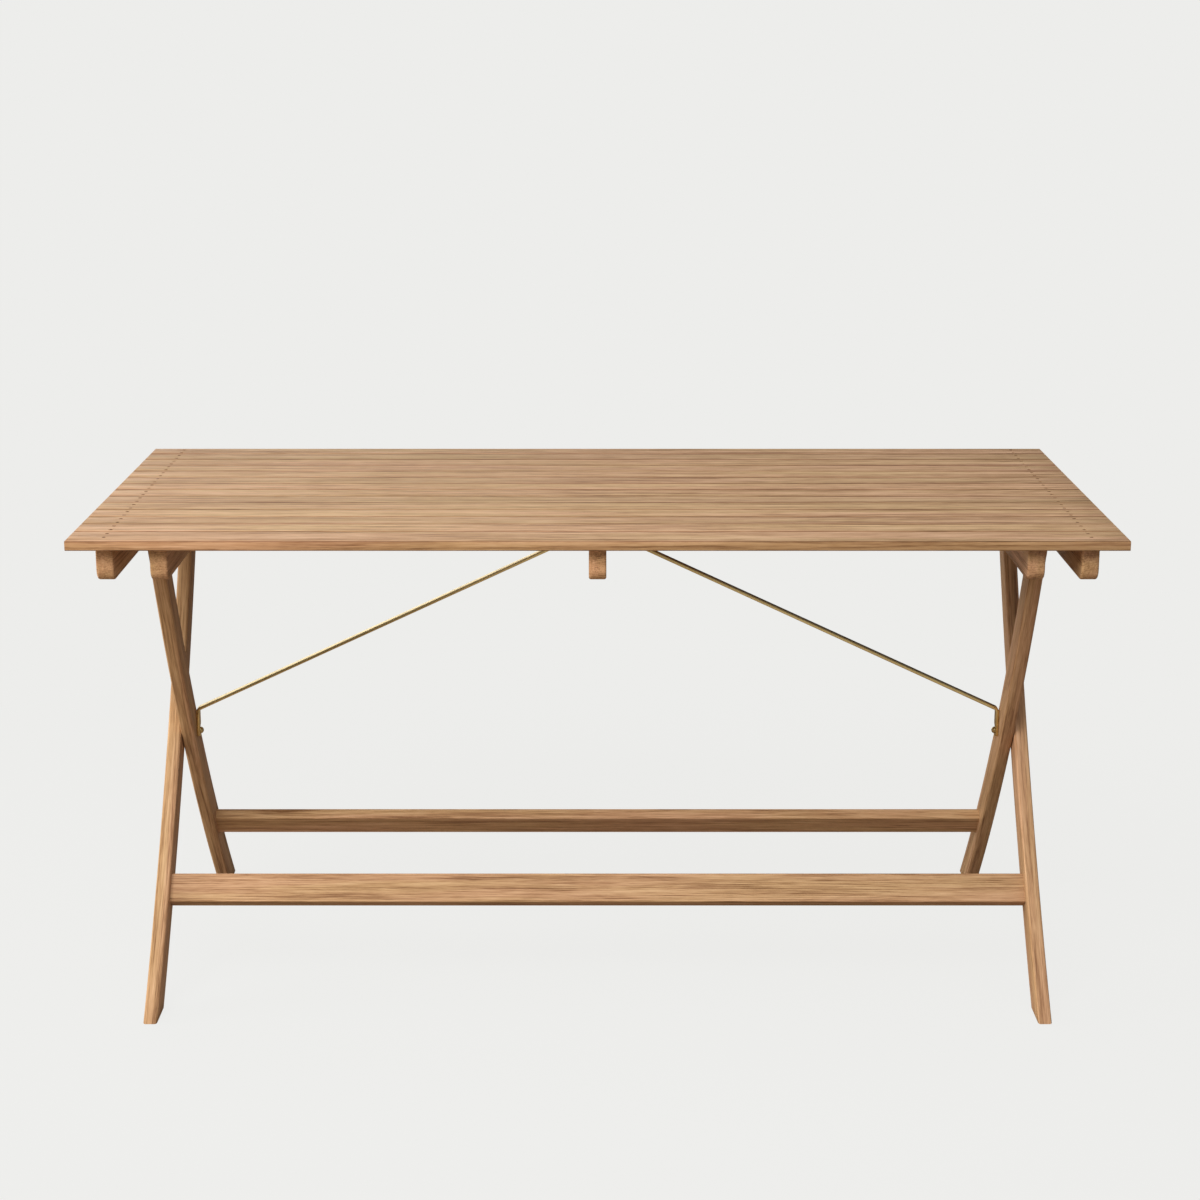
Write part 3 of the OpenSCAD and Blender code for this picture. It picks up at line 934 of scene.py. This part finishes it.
def leg_mesh(node, back):
    """A gently curved leg: quads across its width, a level foot and a round head."""
    lo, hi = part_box(node)
    bm = bmesh.new()
    layers = []
    for x in (lo.x, hi.x):
        inner, outer, head = ([bm.verts.new((x, *p)) for p in line] for line in leg_outline(back))
        for k in range(LEG_STEPS):
            bm.faces.new((inner[k], outer[k], outer[k + 1], inner[k + 1]))
        bm.faces.new([outer[-1], *head, inner[-1]])
        layers.append([*outer, *head, *reversed(inner)])
    near, far = layers
    for k in range(len(near)):
        bm.faces.new((near[k - 1], near[k], far[k], far[k - 1]))
    mesh = closed_mesh(bm, "leg")

    kinds = {}
    for face in mesh.polygons:
        for pair in face.edge_keys:
            kinds.setdefault(pair, set()).add(abs(face.normal.x) > 0.9)
    values = []
    for edge in mesh.edges:
        a, b = (mesh.vertices[v].co for v in edge.vertices)
        at_foot = a.z < SMALL and b.z < SMALL
        crosswise = abs(a.x - b.x) > SMALL
        on_rim = len(kinds[edge.key]) == 2
        values.append(0.0 if crosswise and not at_foot or not on_rim else FOOT_EASE if at_foot else 1.0)
    add_attribute(mesh, "bevel_weight_edge", "FLOAT", "EDGE", values)
    return mesh


def leg_to_board(co, middle_x, back):
    """Along the leg's arc from its middle, across it and through it."""
    y = (-co[:, 1] if back else co[:, 1]) - ARC_Y
    z = co[:, 2] - ARC_Z
    arc_middle = (leg_angle(0) + leg_angle(HINGE_Z)) / 2 * LEG_R
    return np.stack([np.arctan2(z, y) * LEG_R - arc_middle, np.hypot(y, z) - LEG_R, co[:, 0] - middle_x], 1)


def along_leg(centre, back):
    """The way that the leg's arc runs beside a point."""
    y = (-centre.y if back else centre.y) - ARC_Y
    z = centre.z - ARC_Z
    return Vector((0, z if back else -z, y)).normalized()


def make_legs():
    luck = random.Random(37)
    for side in ("left", "right"):
        for back in (False, True):
            node = ("rear" if back else "front") + "_leg_" + side
            lo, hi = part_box(node)
            mesh = worked(leg_mesh(node, back), ease=LEG_EDGE_R, ease_steps=EDGE_STEPS, weights=True)
            outer = lo.x if side == "left" else hi.x
            nut_y, nut_z = (-leg_y(HINGE_Z), HINGE_Z) if back else (0, CROSS_Z)
            rim = circle(nut_y, nut_z, NUT_SINK_R, SINK_SIDES)
            mesh = worked(mesh, [prism(rim, outer - NUT_SINK_DEPTH, outer + NUT_SINK_DEPTH, X_AXIS)])
            smooth(mesh)
            lay_grain(
                mesh,
                to_board=lambda co, x=(lo.x + hi.x) / 2, b=back: leg_to_board(co, x, b),
                along=lambda centre, b=back: along_leg(centre, b),
                half=(BEYOND_ENDS, LEG_W / 2, (hi.x - lo.x) / 2),
                radius=LEG_EDGE_R,
                luck=luck,
            )
            place("teak_" + node, mesh, [node], FRAME_TEAK)


def make_stretchers():
    luck = random.Random(41)
    for node, back in (("front_stretcher", False), ("rear_stretcher", True)):
        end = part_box(node)[1].x
        shoulder = end - TENON_L
        y = -leg_y(STRETCHER_Z) if back else leg_y(STRETCHER_Z)
        lean = math.pi - leg_angle(STRETCHER_Z) if back else leg_angle(STRETCHER_Z)
        centre = Vector((0, y, STRETCHER_Z))
        mesh = SWEPT_BOARD.make(
            line_mesh([(-shoulder, y, STRETCHER_Z), (shoulder, y, STRETCHER_Z)]),
            {
                "Width": STRETCHER_T,
                "Thickness": STRETCHER_W,
                "Edge Radius": STRETCHER_EDGE_R,
                "Edge Steps": EDGE_STEPS,
                "Finish": FRAME_TEAK,
            },
        )
        turn = Matrix.Translation(centre) @ Matrix.Rotation(lean, 4, "X") @ Matrix.Translation(-centre)
        half_t, half_w = TENON_T / 2, TENON_W / 2
        section = [
            (y - half_t, STRETCHER_Z - half_w),
            (y + half_t, STRETCHER_Z - half_w),
            (y + half_t, STRETCHER_Z + half_w),
            (y - half_t, STRETCHER_Z + half_w),
        ]
        root = shoulder - TENON_ROOT
        tenons = joined([prism(section, -end, -root, X_AXIS), prism(section, root, end, X_AXIS)])
        mesh.transform(turn)
        tenons.transform(turn)
        mesh = worked(mesh, joins=[tenons])
        smooth(mesh)
        turn_back = np.array(turn.inverted().to_3x3())
        lay_grain(
            mesh,
            to_board=lambda co, c=centre, m=turn_back: ((co - np.array(c)) @ m.T)[:, [0, 2, 1]],
            along=lambda face_centre: Vector((1, 0, 0)),
            half=(BEYOND_ENDS, STRETCHER_W / 2, STRETCHER_T / 2),
            radius=STRETCHER_EDGE_R,
            luck=luck,
            # Painted light: the rear stretcher is made paler for the shade the tabletop casts on it
            shade=(1.14 if back else 1.02, luck.uniform(0.1, 0.9), luck.uniform(0.1, 0.5)),
        )
        place("teak_" + node, mesh, [node], FRAME_TEAK)


# ---------------------------------------------------------------- brass


def brace_path():
    """The middle line of the right-hand bar in XZ: down the upper tab, along the slope, down the lower tab."""
    lo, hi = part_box("brace_bar_right")
    in_x, out_x = lo.x + BRACE_T / 2, hi.x - BRACE_T / 2
    high_z, low_z = PIN_Z - BRACE_TAB_HIGH, CROSS_Z + BRACE_TAB_LOW
    turn = math.pi / 2 - math.atan2(high_z - low_z, out_x - in_x - BRACE_T)
    r = BRACE_BEND_R + BRACE_T / 2
    points = [
        (in_x, PIN_Z + BRACE_TAB_END),
        *arc(in_x + r, high_z, r, math.pi, math.pi + turn, ARC_STEPS),
        *arc(out_x - r, low_z, r, turn, 0.0, ARC_STEPS),
        (out_x, CROSS_Z - BRACE_TAB_END),
    ]
    return [Vector(p) for p in points]


def end_cutter(x_low, x_high, z, sign):
    """Cuts away what lies past a tab's round end, above it or, with sign -1, below it."""
    r, half = BRACE_TAB_END, BRACE_W / 2
    start = math.acos(half / r)
    round_end = [(x, z + sign * height) for x, height in arc(0, 0, r, start, math.pi - start, TAB_STEPS)]
    shoulder, past = z + sign * r * math.sin(start), z + sign * (r + END_OVER)
    side = half + END_OVER
    outline = [(side, shoulder), *round_end, (-side, shoulder), (-side, past), (side, past)]
    return prism(outline, x_low, x_high, X_AXIS)


def bar_outline(points):
    """The bar seen from the front: its middle line with half the thickness on each side."""
    sides = ([], [])
    for before, here, after in zip([points[0], *points], points, [*points[1:], points[-1]]):
        way_in, way_out = here - before, after - here
        way_in = way_in.normalized() if way_in.length else way_out.normalized()
        way_out = way_out.normalized() if way_out.length else way_in
        way = (way_in + way_out).normalized()
        reach = BRACE_T / 2 / way.dot(way_in)
        sides[0].append(here + Vector((-way.y, way.x)) * reach)
        sides[1].append(here - Vector((-way.y, way.x)) * reach)
    return [*sides[0], *reversed(sides[1])]


def hook_slot():
    """The slot that lets the lower tab swing off the crossing bolt, in YZ: a half circle and a flared mouth."""
    r = BOLT_R + HOOK_GAP
    flare = math.atan2(leg_y(HINGE_Z), HINGE_Z - CROSS_Z) + math.radians(5)
    roof = CROSS_Z + r / math.cos(flare)
    mouth = [(BRACE_W, CROSS_Z - r), (BRACE_W, roof + BRACE_W * math.tan(flare)), (0.0005, roof)]
    return arc(0, CROSS_Z, r, math.pi / 2, 1.5 * math.pi, HOOK_STEPS) + mouth


def make_bars():
    lo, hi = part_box("brace_bar_right")
    outline = bar_outline(brace_path())
    for node, side in (("brace_bar_left", -1), ("brace_bar_right", 1)):
        mesh = prism([(side * p.x, p.y) for p in outline], -BRACE_W / 2, BRACE_W / 2, Y_AXIS)
        upper = sorted((side * (lo.x - CUT_OVER), side * (lo.x + BRACE_T + CUT_OVER)))
        lower = sorted((side * (hi.x - BRACE_T - CUT_OVER), side * (hi.x + CUT_OVER)))
        cutters = [
            end_cutter(*upper, PIN_Z, 1),
            end_cutter(*lower, CROSS_Z, -1),
            prism(hook_slot(), *lower, X_AXIS),
        ]
        mesh = worked(mesh, cutters, ease=BRACE_EDGE_R, ease_steps=3, ease_angle=0.9)
        smooth(mesh)
        lay_bar_grain(mesh)
        place("flat_" + node, mesh, [node], BAR_BRASS)


def lay_bar_grain(mesh):
    """A drawn finish along the bar: its slope is near enough to X."""
    co = coordinates(mesh)
    grain = np.stack([co[:, 0] * 1.1, co[:, 1], co[:, 1] * 0.3], 1)
    add_attribute(mesh, "grain", "FLOAT_VECTOR", "POINT", grain)
    gap = BRACE_W / 2 - np.abs(co[:, 1])
    add_attribute(mesh, "edge", "FLOAT", "POINT", np.clip(1 - gap / BRACE_RUB_W, 0, 1))


def dome_points(r, h, base, steps=9):
    """(radius, height) points up a shallow dome that stands on base."""
    ball = (r * r + h * h) / (2 * h)
    points = []
    for k in range(steps + 1):
        z = h * math.sin(math.pi / 2 * k / steps)
        points.append((math.sqrt(max(ball**2 - (z + ball - h) ** 2, 0.0)), base + z))
    points[0] = (r, base)
    points[-1] = (0.0, base + h)
    return points


def lay_turned(mesh, matrix):
    """Grain round a turned part, which then goes to its place."""
    co = coordinates(mesh)
    round_it = np.arctan2(co[:, 1], co[:, 0]) * 0.004
    grain = np.stack([round_it, np.hypot(co[:, 0], co[:, 1]), co[:, 2]], 1)
    add_attribute(mesh, "grain", "FLOAT_VECTOR", "POINT", grain)
    add_attribute(mesh, "edge", "FLOAT", "POINT", np.zeros(len(co)))
    mesh.transform(matrix)
    return mesh


def facing(x, y, z, side):
    """Puts a part turned round +Z on its place, pointing along +X or -X."""
    return Matrix.Translation((x, y, z)) @ Matrix.Rotation(side * math.pi / 2, 4, "Y")


def domed_bolt(head_r, head_h, shank_r, length):
    """A dome-headed bolt whose head stands on Z 0 and points up, with its shank below."""
    rim = 0.0006
    head = dome_points(head_r, head_h - rim, rim)
    profile = [(0.0, -length), (shank_r - 0.0004, -length), (shank_r, -length + 0.0005), (shank_r, 0.0)]
    profile += [(head_r - 0.0003, 0.0), (head_r, 0.0003), *head]
    return smooth(turned_profile(profile, TURNED_SIDES))


def cap_nut(r, collar, dome, hole_r):
    """A cap nut that stands on Z 0: a collar, a narrow groove and a dome."""
    profile = [(0.0, collar - 0.0006), (hole_r, collar - 0.0012), (hole_r, 0.0), (r - 0.0004, 0.0), (r, 0.0004)]
    profile += [(r, collar - 0.0005), (r - 0.0003, collar - 0.0002), *dome_points(r - 0.0003, dome, collar)[1:]]
    return smooth(turned_profile(profile, TURNED_SIDES))


def across(node):
    """A node's ends along X, half its width, and its middle in Y and Z."""
    lo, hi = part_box(node)
    return lo.x, hi.x, (hi.y - lo.y) / 2, (lo.y + hi.y) / 2, (lo.z + hi.z) / 2


def make_bolts():
    for side, name in ((-1, "left"), (1, "right")):
        for kind in ("crossing", "hinge"):
            node = f"{kind}_bolt_{name}"
            low, high, r, y, z = across(node)
            inner = high if side < 0 else low
            mesh = domed_bolt(r, BOLT_HEAD_H, BOLT_R, high - low - BOLT_HEAD_H)
            lay_turned(mesh, facing(inner + side * BOLT_HEAD_H, y, z, -side))
            place("domed_" + node, mesh, [node], TURNED_BRASS)
    low, high, r, y, z = across("brace_pivot_bolt")
    mesh = domed_bolt(r, PIN_HEAD_H, PIN_R, high - low - PIN_HEAD_H)
    lay_turned(mesh, facing(low + PIN_HEAD_H, y, z, -1))
    place("domed_brace_pivot_bolt", mesh, ["brace_pivot_bolt"], TURNED_BRASS)
    low, high, r, y, z = across("brace_pivot_nut")
    mesh = cap_nut(r, PIN_NUT_COLLAR, PIN_NUT_DOME, PIN_R + THREAD_GAP)
    lay_turned(mesh, facing(low, y, z, 1))
    place("domed_brace_pivot_nut", mesh, ["brace_pivot_nut"], TURNED_BRASS)


def washer_mesh(inner, outer, height):
    """A flat washer on Z 0 with eased rims."""
    e = min(height * 0.25, WASHER_EASE)
    profile = [(inner, e), (inner, height - e), (inner + e, height), (outer - e, height), (outer, height - e)]
    profile += [(outer, e), (outer - e, 0.0), (inner + e, 0.0)]
    bm = bmesh.new()
    rings = [turned_ring(bm, r, h, TURNED_SIDES) for r, h in profile]
    for a, b in zip(rings, rings[1:] + rings[:1]):
        for k in range(TURNED_SIDES):
            n = (k + 1) % TURNED_SIDES
            bm.faces.new((a[k], a[n], b[n], b[k]))
    return smooth(closed_mesh(bm, "washer"), 0.6)


def make_washers():
    """The washers, and the plain round nuts that sit sunk in the legs."""
    for kind in ("crossing_washer", "hinge_washer", "hinge_nut", "crossing_nut"):
        for name in ("left", "right"):
            node = f"{kind}_{name}"
            low, high, r, y, z = across(node)
            mesh = washer_mesh(BOLT_R + THREAD_GAP, r, high - low)
            lay_turned(mesh, facing(low, y, z, 1))
            place("eased_" + node, mesh, [node], TURNED_BRASS)


make_slats()
make_battens()
make_screws()
make_legs()
make_stretchers()
make_bars()
make_bolts()
make_washers()


# ---------------------------------------------------------------- floor, light and camera


def lit_sheet(name, colour, strength, diffuse_share=0.0):
    """A pale surface that glows evenly. Near the table it may also take a little of the real shadow."""
    f = Finish(name)
    glow = f.node("ShaderNodeEmission", {}, {"Color": (*colour, 1), "Strength": strength})
    if diffuse_share:
        matt = f.node("ShaderNodeBsdfDiffuse", {}, {"Color": (0.8, 0.8, 0.79, 1)})
        place_at = f.node("ShaderNodeTexCoord", out="Object")
        far = f.node("ShaderNodeVectorMath", {"operation": "LENGTH"}, {0: place_at}, out="Value")
        share = (1.0 - f.step(far, 0.5, 1.9)) * diffuse_share
        glow = f.node("ShaderNodeMixShader", {}, {0: share, 1: glow, 2: matt})
    f.node("ShaderNodeOutputMaterial", {}, {"Surface": glow})
    return f.material


def sheet(name, corners, material):
    mesh = bpy.data.meshes.new(name)
    mesh.from_pydata(corners, [], [tuple(range(len(corners)))])
    mesh.materials.append(material)
    thing = shown(name, mesh)
    return thing


def level(x_low, x_high, y_low, y_high, z):
    return [(x_low, y_low, z), (x_high, y_low, z), (x_high, y_high, z), (x_low, y_high, z)]


def upright(x_low, x_high, y, z_low, z_high):
    return [(x_low, y, z_low), (x_high, y, z_low), (x_high, y, z_high), (x_low, y, z_high)]


def casts_nothing(thing):
    """Keeps a sheet out of the table's light and shadow."""
    thing.visible_diffuse = thing.visible_transmission = False
    thing.visible_volume_scatter = thing.visible_shadow = False


def reflector(name, corners, colour, strength):
    """A card that shows in polished metal only."""
    card = sheet(name, corners, lit_sheet(name + "_paint", colour, strength))
    card.visible_camera = False
    casts_nothing(card)


PALE = (0.8469, 0.8469, 0.8308)
FLOOR_REACH, BOUNCE_REACH, DOME_R = 30.0, 5.0, 40.0
floor = sheet(
    "pale_floor",
    level(-FLOOR_REACH, FLOOR_REACH, -FLOOR_REACH, FLOOR_REACH, -0.0004),
    lit_sheet("pale_floor_paint", PALE, 1.0, diffuse_share=0.04),
)
bounce = Finish("matt_floor")
matt = bounce.node("ShaderNodeBsdfDiffuse", {}, {"Color": (0.29, 0.22, 0.16, 1)})
bounce.node("ShaderNodeOutputMaterial", {}, {"Surface": matt})
bounce_floor = sheet(
    "bounce_floor", level(-BOUNCE_REACH, BOUNCE_REACH, -BOUNCE_REACH, BOUNCE_REACH, -0.0008), bounce.material
)
bounce_floor.visible_camera = False

dome_mesh = bpy.data.meshes.new("pale_backdrop")
dome = bmesh.new()
bmesh.ops.create_uvsphere(dome, u_segments=48, v_segments=24, radius=DOME_R)
dome.to_mesh(dome_mesh)
dome.free()
dome_mesh.materials.append(lit_sheet("pale_backdrop_paint", PALE, 1.0))
backdrop = shown("pale_backdrop", dome_mesh)
for thing in (floor, backdrop):
    thing.visible_glossy = False
    casts_nothing(thing)

# Cards that the brass mirrors: bright behind the left bar, dark behind the right one, and in front of both
reflector("bright_back_card", upright(-2.9, -0.25, 4.6, 0.05, 1.7), (1.0, 0.96, 0.84), 1.7)
reflector("dark_back_card", upright(0.35, 2.9, 4.6, 0.05, 1.9), (0.5, 0.5, 0.5), 0.03)
reflector("high_front_card", upright(-1.0, 0.8, -2.8, 2.4, 3.4), (1.0, 0.98, 0.94), 4.0)
reflector("dark_floor_card", level(-1.6, -0.15, -3.2, -1.2, 0.01), (0.5, 0.4, 0.3), 0.05)
reflector("front_floor_card", level(0.15, 1.6, -3.2, -1.2, 0.01), (1.0, 0.95, 0.88), 0.6)

world = bpy.data.worlds.new("studio")
bpy.context.scene.world = world
world.use_nodes = True
air = world.node_tree.nodes["Background"].inputs
air["Color"].default_value = (1.0, 0.99, 0.97, 1)
air["Strength"].default_value = 0.24


def softbox(name, place_at, target, width, height, power):
    light = bpy.data.lights.new(name, "AREA")
    light.shape, light.size, light.size_y = "RECTANGLE", width, height
    light.energy = power
    lamp = shown(name, light)
    lamp.location = place_at
    lamp.rotation_euler = (Vector(target) - Vector(place_at)).to_track_quat("-Z", "Y").to_euler()
    lamp.visible_camera = lamp.visible_glossy = False


softbox("overhead_softbox", (0.0, -0.6, 3.4), (0, 0, 0.5), width=4.2, height=3.0, power=40)
softbox("front_softbox", (-1.1, -3.1, 3.1), (0, 0, 0.5), width=3.4, height=1.8, power=160)
softbox("left_softbox", (-3.6, -0.3, 1.0), (0.6, 0, 0.4), width=1.8, height=0.6, power=84)
softbox("back_softbox", (-2.2, 4.4, 2.1), (-0.2, 0, 0.6), width=3.0, height=1.6, power=70)

camera_data = bpy.data.cameras.new("studio_camera")
camera_data.sensor_width = 36
camera_data.lens = 74.04
camera_data.clip_end = 200
camera_data.shift_x = 0.002
camera_data.shift_y = 0.0333
camera = shown("studio_camera", camera_data)
camera.location = (0, -3.765, 1.4783)
camera.rotation_euler = (math.radians(90 - 14.484), 0, 0)
bpy.context.scene.camera = camera
bpy.context.scene.view_settings.view_transform = "Standard"
